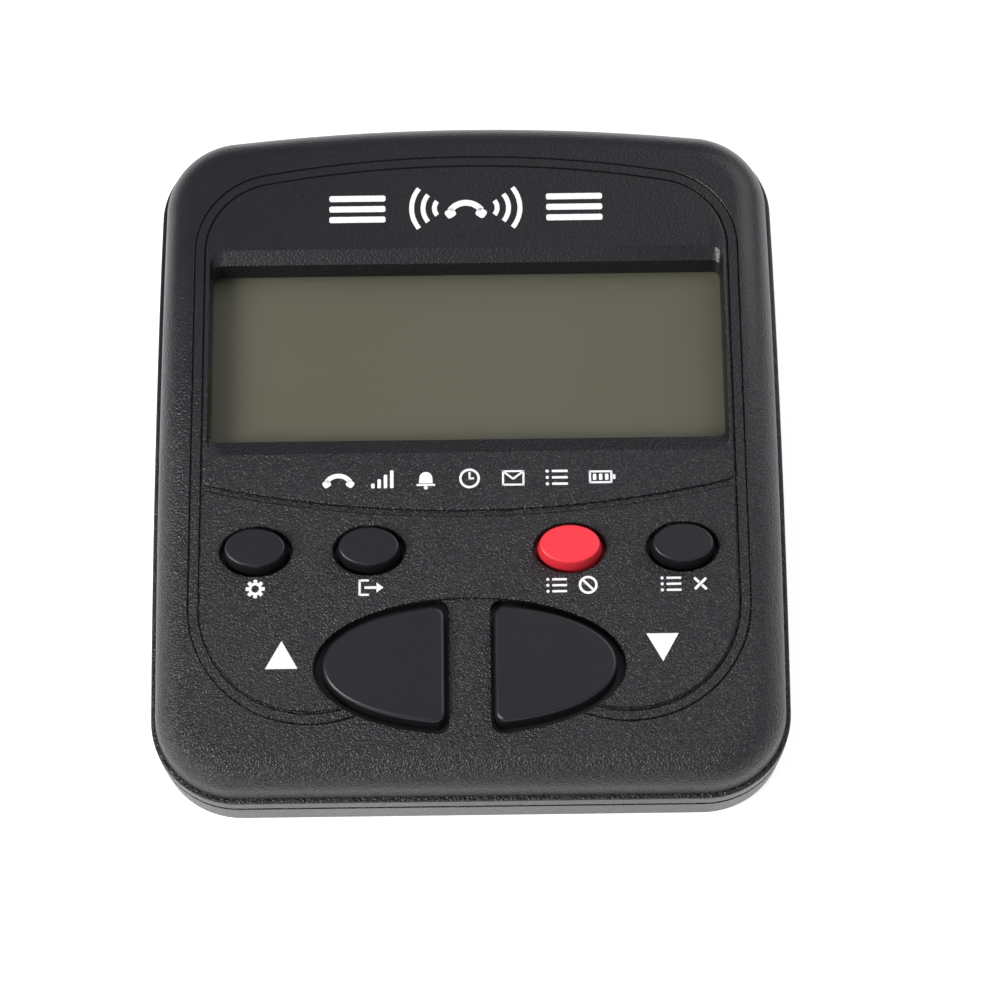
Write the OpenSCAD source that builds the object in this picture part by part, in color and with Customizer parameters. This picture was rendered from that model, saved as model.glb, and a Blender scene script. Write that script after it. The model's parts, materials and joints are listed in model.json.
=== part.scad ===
// Telephone caller display and call blocker: a wedge-shaped desk case in two halves, with a reflective
// liquid-crystal display, six keys, two modular sockets at the back and three AAA cells underneath.
//
// Row frame: X to the right, Y to the back, Z up; the origin is under the middle of the case.
// Face frame: the same X, y up the face and z out of it; it is the row frame tilted back by wedge
// and moved to the middle of the face. Modules that draw inside on_face() use the face frame.

/* [Case] */
// Width of the case across its rim
case_w = 95; // [93:0.5:98]
// Depth of the case along its face, across its rim
case_d = 107.5; // [106:0.5:110]
// Height of the face above the base at the front edge
front_h = 17.1; // [16.5:0.1:18.5]
// Slope of the face above the table, in degrees
wedge = 5; // [4.5:0.1:5.5]
// Radius of the two front corners at the rim
front_r = 13; // [11:0.5:14]
// Radius of the two back corners at the rim
back_r = 12.5; // [11:0.5:14]
// How far the back edge falls away at back_sag_x
back_sag = 1.9; // [1:0.1:2.5]
// How far each side pulls in at side_bow_y
side_bow = 0.4; // [0.2:0.1:0.6]
// Width of the ledge between the raised face and the rim
ledge_w = 0.7; // [0.5:0.1:1]
// Height of the raised face above the ledge
crown_h = 6.6; // [6.2:0.1:7]
// Radius of the rounding between the face and its walls
crown_r = 5.3; // [4.8:0.1:5.6]
// Height of the upper half's rim
rim_h = 2.85; // [2.5:0.05:3.2]
// Gap between the two halves
seam = 0.7; // [0.5:0.1:0.9]
// Wall of the two halves
wall = 2; // [1.8:0.1:2.2]
// Rounding of the lower edge of the case
base_r = 0.5; // [0.4:0.1:1]
// Height of the rubber feet below the base
foot_h = 1; // [0.8:0.1:1.2]

/* [Panels] */
// Half the width of the line that frames the panels
panel_x = 41.4; // [41:0.1:42]
// Top of the framing line
panel_top = 46.45; // [46:0.1:47]
// Width of the strip between the framing line and the raised panels
panel_strip = 1.8; // [1.5:0.1:2]
// Height of the raised panels above the face
panel_h = 0.5; // [0.3:0.1:0.6]
// Radius of the lower corners of the framing line
panel_low_r = 18.1; // [17.8:0.1:18.4]

/* [Display] */
// Width of the display opening
window_w = 77.5; // [77:0.5:79]
// Height of the display opening
window_h = 27.3; // [26.5:0.1:28]
// Middle of the display opening up the face
window_y = 14.35; // [14:0.05:15]
// Depth of the sloped surround below the face
bevel_depth = 1.9; // [1.6:0.1:2.2]

/* [Keys] */
// Width of a small key at its base
small_key_w = 9.7; // [9.4:0.1:9.8]
// Height of a small key at its base
small_key_h = 6.7; // [6.4:0.1:6.8]
// Middle of the small keys up the face
small_key_y = -17.3; // [-17.6:0.1:-17]
// How far a small key stands out of the face
small_key_out = 2.5; // [2:0.1:3]
// Half length of the oval that holds the two scroll keys
oval_a = 22.8; // [22.5:0.1:23]
// Half height of that oval
oval_b = 10.35; // [10:0.05:10.6]
// Middle of that oval up the face
oval_y = -35.2; // [-35.6:0.1:-35]
// How far a scroll key stands out of the face
scroll_key_out = 1.7; // [1.4:0.1:2]

/* [Batteries] */
// Diameter of an AAA cell
cell_d = 10.5; // [10.3:0.1:10.5]
// Length of an AAA cell with its cap
cell_l = 44.5; // [44.3:0.1:44.5]
// Distance between neighbouring cells
cell_pitch = 10.8; // [10.7:0.1:10.9]

/* [Sockets] */
// Width of a modular socket
jack_w = 13.2; // [13:0.1:13.4]
// Height of a modular socket
jack_h = 11.5; // [11.3:0.1:11.6]
// Length of a modular socket
jack_l = 16; // [15.5:0.1:16]
// Distance of each socket from the middle
jack_x = 14; // [13.5:0.5:15]

/* [Hidden] */
$fn = 48;
skin = 0.01;
over = 1;

// where the bows are measured
back_sag_x = 35;
side_bow_y = 45;

// the face frame in the row frame
face_z = foot_h + case_d / 2 * sin(wedge) + front_h * cos(wedge);
front_reach = -case_d / 2 * cos(wedge) + crown_h * sin(wedge);
base_draft = 0.3;
back_reach = (case_d / 2 - base_draft) / cos(wedge) + tan(wedge) * (face_z - foot_h - base_r);
face_y = -(front_reach + back_reach) / 2;

// heights in the face frame
rim_bottom = -crown_h - rim_h;
lower_top = rim_bottom - seam;
tongue_bottom = lower_top - 1.5;
lens_top = -bevel_depth - 1.3;
lens_t = 1;
glass_top = lens_top - lens_t - 0.3;
glass_t = 2.8;
frame_bottom = glass_top - glass_t - 1;
frame_post_bottom = glass_top + 0.02;
board_top = -9;
board_t = 1.6;
mat_t = 1;
dome_top = board_top + mat_t + 2.3;

// base and battery bay in the row frame
floor_t = 2;
floor_top = foot_h + floor_t;
door_t = 1.5;
bay_x = 29;
bay_front = 1.5;
bay_wall = 1.2;
cell_y = bay_front + bay_wall + 0.15 + cell_d / 2;
cell_z = foot_h + door_t + 0.1 + cell_d / 2;
bay_back = cell_y + 2 * cell_pitch + cell_d / 2 + 0.15 + bay_wall;
bay_top = cell_z + cell_d / 2 + 0.15 + 1;

// sockets and line board in the row frame
line_board_z = floor_top + 0.6;
line_board_t = 1.2;
jack_z = line_board_z + line_board_t;
jack_front = 37.3;
jack_back = jack_front + jack_l;
plug_w = 9.8;
plug_h = 6.9;

// screw posts in the face frame
post_x = 38.5;
post_y = 44.5;
post_joint = -12;
screw_seat = -15.5;

// middles of the small keys across the face
set_x = -31.45;
out_x = -14.7;
block_x = 14.9;
remove_x = 31.55;
key_gap = 0.45;
scroll_bar = 3;
flange_top = -wall - 0.2;
flange_t = 1;

// ---- outlines ----

function arc(cx, cy, r, from, to, steps) =
    [for (i = [0 : steps]) let (a = from + (to - from) * i / steps) [cx + r * cos(a), cy + r * sin(a)]];

function mirrored(right) = concat(
    right,
    [for (i = [len(right) - 1 : -1 : 0]) if (abs(right[i][0]) > skin) [-right[i][0], right[i][1]]]
);

function side_x(y) = case_w / 2 - side_bow * pow(y / side_bow_y, 2);

function back_y(x) = case_d / 2 - back_sag * pow(x / back_sag_x, 2);

// outline of the case, drawn in by inset
function outline(inset) =
    let (
        fy = -case_d / 2 + front_r,
        fx = side_x(fy) - front_r,
        bx = side_x(case_d / 2 - back_r) - back_r,
        slope = atan(2 * back_sag * bx / pow(back_sag_x, 2)),
        by = back_y(bx + back_r * sin(slope)) - back_r * cos(slope)
    )
    mirrored(concat(
        arc(fx, fy, front_r - inset, -90, 0, 8),
        [for (y = [-20, 0, 20]) [side_x(y) - inset, y]],
        arc(bx, by, back_r - inset, 0, 90 - slope, 8),
        [for (x = [27, 18, 9, 0]) [x, back_y(x) - inset]]
    ));

panel_top_r = 173;
panel_top_corner_r = 12.8;

function panel_top_y(x) = panel_top - pow(x, 2) / (2 * panel_top_r);

// outline of the framing line, drawn in by inset
function panel(inset) =
    let (
        tx = panel_x - panel_top_corner_r,
        slope = asin(tx / panel_top_r),
        ty = panel_top_y(tx + panel_top_corner_r * sin(slope)) - panel_top_corner_r * cos(slope),
        lx = panel_x - panel_low_r,
        ly = -25.5
    )
    mirrored(concat(
        [[10, ly - panel_low_r + 5.5], [17, ly - panel_low_r + 1.1 + inset]],
        arc(lx, ly, panel_low_r - inset, -90, 0, 8),
        arc(tx, ty, panel_top_corner_r - inset, 0, 90 - slope, 8),
        [for (x = [24, 16, 8, 0]) [x, panel_top_y(x) - inset]]
    ));

function ellipse(a, b, steps) =
    [for (i = [0 : steps - 1]) [a * cos(360 * i / steps), b * sin(360 * i / steps)]];

// the arc that parts the display panel from the key panel
parting_r = 176.2;
parting_y = -11.7;
parting_w = 0.8;

module parting_disc(grow) translate([0, parting_y + parting_r]) circle(r = parting_r + grow, $fn = 360);

module display_panel_2d() intersection() {
    polygon(panel(panel_strip));
    parting_disc(-parting_w / 2);
}

module key_panel_2d() difference() {
    polygon(panel(panel_strip));
    parting_disc(parting_w / 2);
    translate([0, oval_y]) polygon(ellipse(oval_a, oval_b, 48));
}

// one scroll key's opening, drawn in by inset; side is -1 on the left and 1 on the right
module scroll_2d(side, inset) offset(r = 1.6) offset(delta = -1.6 - inset) intersection() {
    translate([0, oval_y]) polygon(ellipse(oval_a, oval_b, 48));
    translate([side > 0 ? scroll_bar : -oval_a - over, oval_y - oval_b - over])
        square([oval_a + over - scroll_bar, 2 * (oval_b + over)]);
}

module small_2d(x, inset) translate([x, small_key_y])
    polygon(ellipse(small_key_w / 2 + key_gap - inset, small_key_h / 2 + key_gap - inset, 32));

module on_face() translate([0, face_y, face_z]) rotate([wedge, 0, 0]) children();

// a thin plate of the case's outline at height z of the face frame
module slab(inset, z) translate([0, 0, z]) linear_extrude(skin) polygon(outline(inset));

// the same, cut level at height z of the row frame
module level_slab(inset, z) translate([0, face_y - tan(wedge) * (z - face_z), z])
    scale([1, 1 / cos(wedge), 1]) linear_extrude(skin) polygon(outline(inset));

module at_jacks() for (x = [-jack_x, jack_x]) translate([x, 0, 0]) children();

module at_posts() for (x = [-post_x, post_x], y = [-post_y, post_y]) translate([x, y, 0]) children();

module box(low, high) translate(low) cube(high - low);

// ---- upper half ----

// faces of a closed skin over rings of n points, which are numbered 0 to last
function loft_faces(last, n) = concat(
    [[for (k = [0 : n - 1]) k]],
    [for (i = [0 : last - 1], k = [0 : n - 1]) let (a = i * n, b = a + n, m = (k + 1) % n)
        [a + k, b + k, b + m, a + m]],
    [[for (k = [n - 1 : -1 : 0]) last * n + k]]
);

// closed skin through rings of equal length, from the lowest to the highest
module loft(rings) {
    polyhedron(
        points = [for (ring = rings) for (p = ring) p],
        faces = loft_faces(len(rings) - 1, len(rings[0])),
        convexity = 4
    );
}

function ring(inset, z) = [for (p = outline(inset)) [p[0], p[1], z]];

// the walls lean in more and more up to the arc of the face's edge
arc_start = 21;
lean_h = crown_h - crown_r * (1 - sin(arc_start));
lean_steps = [[0.594, 0.052], [0.844, 0.096]];

// rim, ledge, walls and rounded edge of the face in one skin
module crown_block() loft(concat(
    [ring(0, rim_bottom), ring(0, -crown_h), ring(ledge_w, -crown_h)],
    [for (step = lean_steps) ring(ledge_w + lean_h * step[1], -crown_h + lean_h * step[0])],
    [for (i = [0 : 5])
        let (
            a = arc_start + (90 - arc_start) * i / 5,
            inset = ledge_w + lean_h * 0.144 + crown_r * (cos(arc_start) - cos(a))
        )
        ring(inset, -crown_r * (1 - sin(a)))]
));

crown_in = wall + 1.1;

module crown_hollow() loft([
    ring(crown_in, rim_bottom - over), ring(crown_in, -4),
    ring(crown_in + 0.6, -wall - 0.6), ring(crown_in + 2, -wall)
]);

module tongue() difference() {
    translate([0, 0, tongue_bottom]) linear_extrude(rim_bottom - tongue_bottom + over)
        polygon(outline(wall + 0.4));
    translate([0, 0, tongue_bottom - over]) linear_extrude(rim_h + 4) polygon(outline(wall + 1.3));
}

// sloped surround of the display opening, wider at the face than below
bevel_side = 0.3;
bevel_front = 2.5;
bevel_back = 3.5;

module window_bevel() translate([-window_w / 2, window_y - window_h / 2, 0]) hull() {
    translate([0, 0, -bevel_depth]) cube([window_w, window_h, skin]);
    translate([-bevel_side, -bevel_front, panel_h])
        cube([window_w + 2 * bevel_side, window_h + bevel_front + bevel_back, skin]);
}

module upper_case() color("#2b2b2e") difference() {
    on_face() difference() {
        union() {
            difference() {
                crown_block();
                crown_hollow();
            }
            tongue();
            // display panel and key panel
            linear_extrude(panel_h) display_panel_2d();
            linear_extrude(panel_h) key_panel_2d();
            // seat for the display window
            translate([0, window_y, lens_top]) linear_extrude(-lens_top - wall + skin)
                square([86, 35], center = true);
            // screw posts
            at_posts() translate([0, 0, post_joint]) cylinder(r = 3.2, h = -post_joint - wall + skin);
            frame_posts() cylinder(r = 1.9, h = -frame_post_bottom - wall + skin);
            board_posts() cylinder(r = 2.2, h = -board_top - wall + skin);
        }
        // framing line
        translate([0, 0, -0.3]) linear_extrude(over) difference() {
            polygon(panel(0));
            polygon(panel(0.3));
        }
        window_bevel();
        translate([-window_w / 2, window_y - window_h / 2, lens_top - over])
            cube([window_w, window_h, over - lens_top]);
        // key openings
        translate([0, 0, -wall - over]) linear_extrude(wall + 2 * over) {
            for (x = [set_x, out_x, block_x, remove_x]) small_2d(x, 0);
            for (side = [-1, 1]) scroll_2d(side, 0);
        }
        // pilot holes
        at_posts() translate([0, 0, post_joint - over]) cylinder(r = 1.1, h = 8 + over);
        frame_posts() translate([0, 0, -over]) cylinder(r = 0.7, h = 2 + over);
        board_posts() translate([0, 0, -over]) cylinder(r = 0.7, h = 5 + over);
    }
    // room for the sockets behind the tongue
    at_jacks() translate([-jack_w / 2 - 0.4, jack_front, jack_z - over])
        cube([jack_w + 0.8, jack_l - 1.7, jack_h + over + 0.5]);
}

// posts that carry the display frame, from the window seat down
module frame_posts() for (x = [-41.85, 41.85], y = [-0.4, 29.1])
    translate([x, y, frame_post_bottom]) children();

// posts that carry the main board
board_post_x = 23;
board_post_y = [-9.6, -48.8];

module board_posts() for (x = [-board_post_x, board_post_x], y = board_post_y)
    translate([x, y, board_top]) children();

// ---- display ----

module display_window() color([0.9, 0.95, 0.95, 0.3]) on_face()
    translate([0, window_y, lens_top - lens_t]) linear_extrude(lens_t) square([78.5, 33.5], center = true);

module lcd_glass() color("#66664f") on_face() {
    // front plate, rear plate and the shelf that carries the contacts
    translate([-40.5, window_y - 15.5, glass_top - 1.4]) cube([81, 31, 1.4]);
    translate([-40.5, window_y - 17, glass_top - glass_t]) cube([81, 32.5, 1.4]);
}

module lcd_frame() color("#303033") on_face() difference() {
    translate([-43, window_y - 17.7, frame_bottom]) cube([86, 34.4, glass_top - frame_bottom]);
    translate([-40.7, window_y - 17.9, glass_top - glass_t - 0.1]) cube([81.4, 33.6, 10]);
    frame_posts() translate([0, 0, -10]) cylinder(r = 0.9, h = 11);
}

module frame_screws() color("silver") on_face() frame_posts() {
    translate([0, 0, frame_bottom - frame_post_bottom - 0.82]) cylinder(r = 1.5, h = 0.8);
    translate([0, 0, frame_bottom - frame_post_bottom - 0.5]) cylinder(r = 0.75, h = 6);
}

module display_ribbon() color("#c9a227") on_face() {
    path_y = window_y - 17;
    // down from the glass shelf, then forward onto the board
    translate([-32, path_y - 1.4, board_top + 0.02]) cube([64, 0.2, glass_top - 1.4 - board_top]);
    translate([-32, path_y - 1.4, glass_top - 1.4 + 0.02]) cube([64, 2.6, 0.2]);
    translate([-32, path_y - 4.4, board_top + 0.02]) cube([64, 3.2, 0.2]);
}

// ---- key pad ----

module keypad_mat() color("#b9b9b4") on_face() translate([0, 0, board_top]) difference() {
    linear_extrude(mat_t) difference() {
        translate([-37.5, -45.5]) square([75, 33.5]);
        for (x = [-post_x, post_x]) translate([x, -post_y]) circle(r = 5);
    }
    // hollow under each dome
    for (p = dome_places) translate([p[0], p[1], -over]) cylinder(r = 2.9, h = mat_t + 2 * over);
}

scroll_x = 12.2;
dome_places = [
    [set_x, small_key_y], [out_x, small_key_y], [block_x, small_key_y], [remove_x, small_key_y],
    [-scroll_x, oval_y], [scroll_x, oval_y]
];

// a rubber cone with a carbon pill inside its roof
module dome(i) color("#b9b9b4") on_face() translate([dome_places[i][0], dome_places[i][1], 0])
    rotate_extrude() polygon([
        [0, dome_top], [2.3, dome_top], [3.6, board_top + mat_t], [2.9, board_top + mat_t],
        [1.7, dome_top - 0.8], [1.3, dome_top - 1], [0, dome_top - 1]
    ]);

module small_key(x, shade) color(shade) on_face() {
    // cap
    hull() {
        translate([0, 0, small_key_out - 0.5]) linear_extrude(skin) small_2d(x, key_gap + 0.15);
        translate([0, 0, small_key_out - skin]) linear_extrude(skin) small_2d(x, key_gap + 0.55);
        translate([0, 0, flange_top - skin]) linear_extrude(skin) small_2d(x, key_gap);
    }
    // flange and plunger
    translate([0, 0, flange_top - flange_t]) linear_extrude(flange_t) small_2d(x, -0.8);
    translate([x, small_key_y, dome_top + 0.1]) cylinder(r = 2, h = flange_top - flange_t - dome_top);
}

module scroll_key(side) color("#2b2b2e") on_face() {
    hull() {
        translate([0, 0, scroll_key_out - 0.5]) linear_extrude(skin) scroll_2d(side, key_gap + 0.15);
        translate([0, 0, scroll_key_out - skin]) linear_extrude(skin) scroll_2d(side, key_gap + 0.6);
        translate([0, 0, flange_top - skin]) linear_extrude(skin) scroll_2d(side, key_gap);
    }
    translate([0, 0, flange_top - flange_t]) linear_extrude(flange_t) intersection() {
        scroll_2d(side, -0.9);
        translate([side > 0 ? 0.3 : -30.3, oval_y - 15]) square([30, 30]);
    }
    translate([side * scroll_x, oval_y, dome_top + 0.1])
        cylinder(r = 2, h = flange_top - flange_t - dome_top);
}

// ---- main board ----

module main_board_2d() difference() {
    translate([-42, -50.3]) square([84, 45.8]);
    // the front corners clear the screw posts
    for (x = [-42, 42]) translate([x, -50.3]) square([18, 24], center = true);
    for (x = [-board_post_x, board_post_x], y = board_post_y) translate([x, y]) circle(r = 0.9);
}

module main_board() color("#1f5a34") on_face() translate([0, 0, board_top - board_t])
    linear_extrude(board_t) main_board_2d();

module board_screws() color("silver") on_face() board_posts() {
    translate([0, 0, -board_t - 0.82]) cylinder(r = 1.6, h = 0.8);
    translate([0, 0, -board_t - 0.5]) cylinder(r = 0.75, h = board_t + 4.5);
}

// a flat chip with legs along two sides, hanging under the board
module chip(x, y, w, l, pins) on_face() translate([x, y, board_top - board_t]) {
    color("#1c1c1e") translate([-w / 2, -l / 2, -1.9]) cube([w, l, 1.7]);
    color("silver") for (i = [0 : pins - 1], side = [-1, 1])
        translate([side * (w / 2 + 0.6) - 0.7, (i - (pins - 1) / 2) * 1.27 - 0.2, -0.35])
            cube([1.4, 0.4, 0.35]);
}

module controller_chip() chip(-6, -28, 12, 18, 14);

module caller_chip() chip(18, -22, 7.6, 12, 9);

module crystal() color("silver") on_face() translate([9, -36, board_top - board_t - 3.2]) {
    cylinder(r = 1.7, h = 3.1);
    translate([7.5, 0, 0]) cylinder(r = 1.7, h = 3.1);
    translate([0, -1.7, 0]) cube([7.5, 3.4, 3.1]);
}

module chip_resistors() color("#26262a") on_face() for (i = [0 : 4], row = [0, 1])
    translate([22 + 3 * i, -32 - 4 * row, board_top - board_t - 0.5]) cube([1.2, 2, 0.48]);

// ---- lower half ----

module lower_block() hull() {
    on_face() slab(0, lower_top - skin);
    level_slab(base_draft, foot_h + base_r);
    level_slab(base_draft + base_r * 0.3, foot_h + base_r * 0.3);
    level_slab(base_draft + base_r, foot_h);
}

module lower_hollow() hull() {
    on_face() slab(wall + 0.2, lower_top + 2);
    level_slab(base_draft + wall + 0.2, floor_top);
}

// a block over the battery bay, grown sideways and between two heights
module bay_block(grow, low, high)
    box([-bay_x - grow, bay_front - grow, low], [bay_x + grow, bay_back + grow, high]);

module lower_case() color("#2b2b2e") difference() {
    union() {
        difference() {
            lower_block();
            lower_hollow();
        }
        // battery bay
        bay_block(0, foot_h + skin, bay_top);
        // screw posts, cut to the case below
        intersection() {
            on_face() at_posts() translate([0, 0, -40]) cylinder(r = 4, h = 40 + post_joint - 0.2);
            lower_block();
        }
        // posts for the line board
        for (x = [-31, 0, 31]) box([x - 2, 38.5, floor_top - skin], [x + 2, 42.5, line_board_z]);
    }
    // inside of the bay
    bay_block(-bay_wall, foot_h - over, bay_top - 1);
    // recess for the door
    bay_block(1.5, foot_h - over, foot_h + door_t + 0.1);
    // socket openings
    at_jacks() translate([-jack_w / 2 - 0.2, jack_front, jack_z - 0.2])
        cube([jack_w + 0.4, case_d, jack_h + 0.4]);
    // screw holes and their counterbores
    on_face() at_posts() {
        translate([0, 0, -40]) cylinder(r = 1.6, h = 40);
        translate([0, 0, -40]) cylinder(r = 3, h = 40 + screw_seat);
    }
    // seats for the feet
    at_feet() translate([0, 0, foot_h - over]) cylinder(r = 5.1, h = over + 0.5);
    // keyholes for two wall screws
    for (x = [-keyhole_x, keyhole_x]) translate([x, keyhole_y, foot_h - over]) {
        cylinder(r = 3.6, h = floor_t + 2 * over);
        translate([-1.9, 0, 0]) cube([3.8, 7, floor_t + 2 * over]);
        translate([0, 7, 0]) cylinder(r = 1.9, h = floor_t + 2 * over);
    }
}

keyhole_x = 25;
keyhole_y = -24;
feet = [[-28, -43.5], [28, -43.5], [-28, 45], [28, 45]];

module at_feet() for (p = feet) translate([p[0], p[1], 0]) children();

module rubber_foot(i) color("#3a3a3c") translate([feet[i][0], feet[i][1], 0])
    cylinder(r = 5, h = foot_h + 0.45);

module case_screws() color("silver") on_face() at_posts() {
    translate([0, 0, screw_seat - 2.02]) cylinder(r = 2.6, h = 2);
    translate([0, 0, screw_seat - over]) cylinder(r = 1.2, h = 10 + over);
}

// ---- batteries ----

// cells alternate end for end; turn is -1 or 1
module battery(i) {
    turn = i % 2 == 0 ? 1 : -1;
    translate([-cell_l / 2 * turn, cell_y + i * cell_pitch, cell_z]) rotate([0, 90 * turn, 0]) {
        color("#b9793a") cylinder(d = cell_d, h = 9);
        color("#3b3d42") translate([0, 0, 9 - skin]) cylinder(d = cell_d, h = cell_l - 1 - 9 + skin);
        color("silver") translate([0, 0, cell_l - 1 - skin]) cylinder(d = 3.8, h = 1 + skin);
    }
}

spring_turns = 3;
spring_l = 4.45;
spring_wire = 0.35;

// centre line of a conical spring along z
function coil(t) = let (r = 3.6 - 1.4 * t / spring_turns)
    [r * cos(360 * t), r * sin(360 * t), spring_l * t / spring_turns];

coil_steps = spring_turns * 12;
coil_sides = 6;

// every ring of the wire, in the plane that holds the spring's axis
function coil_ring(t) = let (c = coil(t), out = [c[0], c[1], 0] / norm([c[0], c[1]]))
    [for (k = [0 : coil_sides - 1]) let (a = 360 * k / coil_sides)
        c + spring_wire * (cos(a) * out + [0, 0, sin(a)])];

bay_inside = bay_x - bay_wall;

module battery_springs() color("silver") for (i = [0 : 2]) let (turn = i % 2 == 0 ? 1 : -1)
    translate([-turn * (bay_inside - 0.5 - spring_wire), cell_y + i * cell_pitch, cell_z])
        rotate([0, 90 * turn, 0])
            loft([for (k = [0 : coil_steps]) coil_ring(k * spring_turns / coil_steps)]);

// one metal plate per end: two lone plates and two that join neighbouring cells
module battery_plates() color("silver") for (side = [-1, 1]) {
    pair = side < 0 ? 0.5 : 1.5;
    lone = side < 0 ? 2 : 0;
    x = side < 0 ? -bay_inside + 0.02 : bay_inside - 0.42;
    translate([x, cell_y + pair * cell_pitch - 9.5, cell_z - 4]) cube([0.4, 19, 8]);
    translate([x, cell_y + lone * cell_pitch - 4, cell_z - 4]) cube([0.4, 8, 8]);
}

module battery_door() color("#2b2b2e") {
    difference() {
        box([-bay_x - 1.2, bay_front - 1.2, foot_h], [bay_x + 1.2, bay_back + 1.2, foot_h + door_t - 0.1]);
        // finger notch
        translate([0, bay_back - 3, foot_h - 0.4]) cylinder(r = 4, h = 0.9);
    }
}

// a round wire through points that run mostly across x
function wire_ring(p, t, r) = let (v = cross(t, [1, 0, 0]) / norm(cross(t, [1, 0, 0])))
    [for (k = [0 : 7]) p + r * (cos(45 * k) * [1, 0, 0] + sin(45 * k) * v)];

module wire(points, r) let (last = len(points) - 1)
    loft([for (i = [0 : last]) wire_ring(points[i], points[min(i + 1, last)] - points[max(i - 1, 0)], r)]);

lead_end_z = face_z + (board_top - board_t) * cos(wedge) - 8 * sin(wedge);

module battery_lead_red() color("#b3261e") wire([
    [bay_x + 0.8, 11, 9], [bay_x + 1.5, 6, 9.4], [bay_x + 1.8, 1, 9.6], [bay_x - 1, -3.5, 9.8],
    [bay_x - 4, -8, lead_end_z - 1.5]
], 0.6);

module battery_lead_black() color("#202022") wire([
    [-bay_x - 0.8, 27, 9], [-bay_x - 2, 24, 6], [-bay_x - 2, 4, 4.5], [-bay_x - 1, -5, 6],
    [-bay_x, -8, lead_end_z - 1.5]
], 0.6);

// ---- line board ----

module line_board() color("#1f5a34")
    box([-33.8, 37.5, line_board_z], [33.8, 49.8, line_board_z + line_board_t]);

module jack(x) color("#1d1d1f") translate([x, jack_back, jack_z]) difference() {
    box([-jack_w / 2, -jack_l, 0], [jack_w / 2, 0, jack_h]);
    box([-plug_w / 2, -12.5, 3], [plug_w / 2, over, 3 + plug_h]);
    // channel for the plug's latch
    box([-3.2, -9, 0.9], [3.2, over, 3 + skin]);
}

// four spring wires that slope down from the roof of the socket
module contacts(x) color("#d4af37") translate([x, jack_back - 3.2, jack_z + 3 + plug_h - 0.35])
    for (i = [-1.5 : 1 : 1.5]) translate([i * 1.02 - 0.22, 0, 0]) rotate([15, 0, 0])
        translate([0, -8.4, 0]) cube([0.44, 8, 0.3]);

module line_relay() color("#e8e6df") box([-4.8, 38, jack_z + 0.02], [4.8, 49.6, jack_z + 9]);

module line_transformer() translate([27, 44, jack_z + 0.02]) {
    color("#3c3c40") box([-5, -4.5, 0], [5, 4.5, 7.5]);
    color("#c9b458") translate([0, 0, 7.5 - skin]) cylinder(r = 3.6, h = 2);
}

// each capacitor's place, radius and height
capacitors = [[-25, 41, 2.5, 8], [-25, 47, 2, 7], [-30.5, 44, 3, 9]];

module filter_capacitors() color("#232a55") for (p = capacitors)
    translate([p[0], p[1], jack_z + 0.02]) cylinder(r = p[2], h = p[3]);

// flat jumper that joins the two boards beside the battery bay
ribbon_x = 32;
ribbon_up = face_z + (board_top - board_t) * cos(wedge);

module board_ribbon() color("#8f8f94") translate([ribbon_x - 1.8, 0, 0]) rotate([90, 0, 90])
    linear_extrude(3.6) polygon([
        [39, jack_z + 0.02], [39, jack_z + 0.42], [36.8, jack_z + 0.42], [36, floor_top + 0.6],
        [-5, floor_top + 0.6], [-7, ribbon_up - 1.1], [-7.4, ribbon_up - 1.1],
        [-5.3, floor_top + 0.2], [36.2, floor_top + 0.2], [37.1, jack_z + 0.02]
    ]);

lower_case();
rubber_foot(0);  // rubber_foot_1
rubber_foot(1);  // rubber_foot_2
rubber_foot(2);  // rubber_foot_3
rubber_foot(3);  // rubber_foot_4
battery_door();
battery(0);  // battery_1
battery(1);  // battery_2
battery(2);  // battery_3
battery_springs();
battery_plates();
battery_lead_red();
battery_lead_black();
line_board();
jack(-jack_x);  // line_jack
jack(jack_x);  // phone_jack
contacts(-jack_x);  // line_contacts
contacts(jack_x);  // phone_contacts
line_relay();
line_transformer();
filter_capacitors();
board_ribbon();
main_board();
controller_chip();
caller_chip();
crystal();
chip_resistors();
display_ribbon();
lcd_glass();
lcd_frame();
display_window();
keypad_mat();
dome(0);  // set_dome
dome(1);  // out_dome
dome(2);  // block_dome
dome(3);  // remove_dome
dome(4);  // up_dome
dome(5);  // down_dome
small_key(set_x, "#2b2b2e");  // set_key
small_key(out_x, "#2b2b2e");  // out_key
small_key(block_x, "#e8303c");  // block_key
small_key(remove_x, "#2b2b2e");  // remove_key
scroll_key(-1);  // up_key
scroll_key(1);  // down_key
upper_case();
case_screws();
board_screws();
frame_screws();
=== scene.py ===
import json
from math import asin, atan, atan2, cos, degrees, pi, radians, sin, sqrt

import bmesh
import bpy
from mathutils import Matrix, Vector


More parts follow.
